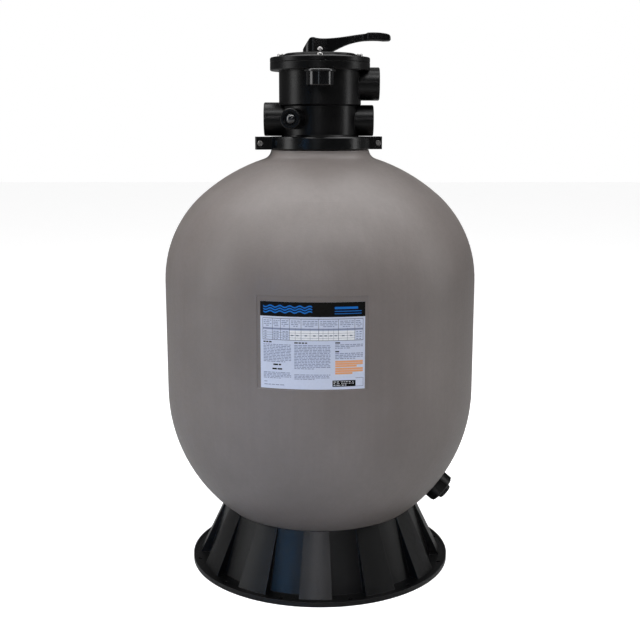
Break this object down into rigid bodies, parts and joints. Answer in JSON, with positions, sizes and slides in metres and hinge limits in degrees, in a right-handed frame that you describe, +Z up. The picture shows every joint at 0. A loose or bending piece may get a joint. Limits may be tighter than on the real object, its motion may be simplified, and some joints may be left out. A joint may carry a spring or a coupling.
{
  "type": "sand filter tank",
  "caption": "Round upright pool sand filter: a taupe moulded tank on a flared black skirt base, with a clamped top selector valve, lever handle, gauge, side drain and inner laterals.",
  "frame": {"origin": "on the floor, on the tank's vertical axis", "axes": "+Z up along the tank's axis; the label and gauge face -Y; the pump and return ports, the grip and the drain point to +X"},
  "size_m": [0.6096, 0.6095, 1.0495],
  "materials": {
    "tank_plastic": "satin moulded, taupe grey",
    "base_plastic": "leather-grained black",
    "label_film": "printed film",
    "seal_rubber": "matt",
    "clamp_plastic": "satin black",
    "stainless": "bright stainless",
    "valve_plastic": "satin black",
    "inner_plastic": "matt dark grey",
    "white_plastic": "natural white",
    "handle_plastic": "semi-gloss black",
    "clear_plastic": "clear",
    "gauge_plastic": "glossy black",
    "brass": "turned",
    "dial_face": "printed dial",
    "needle_black": "satin",
    "pipe_plastic": "extruded grey-white",
    "drain_plastic": "satin black"
  },
  "bodies": {
    "tank": {"tank_shell": "tank_plastic", "tank_base": "base_plastic", "rating_label": "label_film", "neck_oring": "seal_rubber", "clamp_front": "clamp_plastic", "clamp_rear": "clamp_plastic", "clamp_bolts": "stainless", "clamp_nuts": "stainless", "valve_body": "valve_plastic", "valve_cover": "valve_plastic", "cover_oring": "seal_rubber", "cover_screws": "stainless", "cover_nuts": "stainless", "spider_gasket": "seal_rubber", "rotor_spring": "stainless", "handle_washer": "white_plastic", "sight_glass": "clear_plastic", "sight_glass_oring": "seal_rubber", "gauge_case": "gauge_plastic", "gauge_stem": "brass", "gauge_bezel": "gauge_plastic", "gauge_lens": "clear_plastic", "gauge_dial": "dial_face", "gauge_tube": "brass", "top_diffuser": "inner_plastic", "standpipe": "pipe_plastic", "lateral_hub": "inner_plastic", "lateral_pins": "stainless", "drain_spigot": "valve_plastic", "drain_gasket": "seal_rubber", "drain_nut": "drain_plastic", "drain_screen": "white_plastic"},
    "turning_washer": {"slip_washer": "white_plastic"},
    "rotor": {"valve_rotor": "inner_plastic", "stem_orings": "seal_rubber", "handle_pin": "stainless"},
    "handle": {"selector_handle": "handle_plastic"},
    "needle": {"gauge_needle": "needle_black"},
    "plug_seal": {"drain_cap_seal": "seal_rubber"},
    "plug": {"drain_cap": "drain_plastic"},
    "arm_1": {"lateral_1": "white_plastic"},
    "arm_2": {"lateral_2": "white_plastic"},
    "arm_3": {"lateral_3": "white_plastic"},
    "arm_4": {"lateral_4": "white_plastic"},
    "arm_5": {"lateral_5": "white_plastic"},
    "arm_6": {"lateral_6": "white_plastic"},
    "arm_7": {"lateral_7": "white_plastic"},
    "arm_8": {"lateral_8": "white_plastic"}
  },
  "joints": [
    {"name": "selector_turn", "type": "hinge", "parent": "tank", "child": "turning_washer", "pos_m": [0, 0, 1.018], "axis": [0, 0, 1], "continuous": true},
    {"name": "rotor_lift", "type": "slide", "parent": "turning_washer", "child": "rotor", "axis": [0, 0, 1], "range_m": [0, 0.004], "deforming": ["rotor_spring"]},
    {"name": "handle_press", "type": "hinge", "parent": "rotor", "child": "handle", "pos_m": [0, 0, 1.018], "axis": [0, 1, 0], "range_deg": [0, 15], "stiffness_Nm_per_rad": 12, "springref_deg": -22.92},
    {"name": "gauge_needle_turn", "type": "hinge", "parent": "tank", "child": "needle", "pos_m": [0, -0.112, 0.967], "axis": [0, 0, -1], "range_deg": [0, 270], "stiffness_Nm_per_rad": 0.0005},
    {"name": "plug_travel", "type": "slide", "parent": "tank", "child": "plug_seal", "axis": [0.7599, -0.134, -0.6361], "range_m": [0, 0.008]},
    {"name": "plug_turn", "type": "hinge", "parent": "plug_seal", "child": "plug", "pos_m": [0.24849, -0.04381, 0.15], "axis": [0.7599, -0.134, -0.6361], "range_deg": [0, 720]},
    {"name": "lateral_fold_1", "type": "hinge", "parent": "tank", "child": "arm_1", "pos_m": [0.0388, 0.01607, 0.124], "axis": [0.3827, -0.9239, 0], "range_deg": [0, 85]},
    {"name": "lateral_fold_2", "type": "hinge", "parent": "tank", "child": "arm_2", "pos_m": [0.01607, 0.0388, 0.124], "axis": [0.9239, -0.3827, 0], "range_deg": [0, 85]},
    {"name": "lateral_fold_3", "type": "hinge", "parent": "tank", "child": "arm_3", "pos_m": [-0.01607, 0.0388, 0.124], "axis": [0.9239, 0.3827, 0], "range_deg": [0, 85]},
    {"name": "lateral_fold_4", "type": "hinge", "parent": "tank", "child": "arm_4", "pos_m": [-0.0388, 0.01607, 0.124], "axis": [0.3827, 0.9239, 0], "range_deg": [0, 85]},
    {"name": "lateral_fold_5", "type": "hinge", "parent": "tank", "child": "arm_5", "pos_m": [-0.0388, -0.01607, 0.124], "axis": [-0.3827, 0.9239, 0], "range_deg": [0, 85]},
    {"name": "lateral_fold_6", "type": "hinge", "parent": "tank", "child": "arm_6", "pos_m": [-0.01607, -0.0388, 0.124], "axis": [-0.9239, 0.3827, 0], "range_deg": [0, 85]},
    {"name": "lateral_fold_7", "type": "hinge", "parent": "tank", "child": "arm_7", "pos_m": [0.01607, -0.0388, 0.124], "axis": [-0.9239, -0.3827, 0], "range_deg": [0, 85]},
    {"name": "lateral_fold_8", "type": "hinge", "parent": "tank", "child": "arm_8", "pos_m": [0.0388, -0.01607, 0.124], "axis": [-0.3827, -0.9239, 0], "range_deg": [0, 85]}
  ],
  "couplings": [
    {"joint": "rotor_lift", "follows": "handle_press", "m_per_rad": 0.015279},
    {"joint": "plug_turn", "follows": "plug_travel", "rad_per_m": 1570.8}
  ]
}
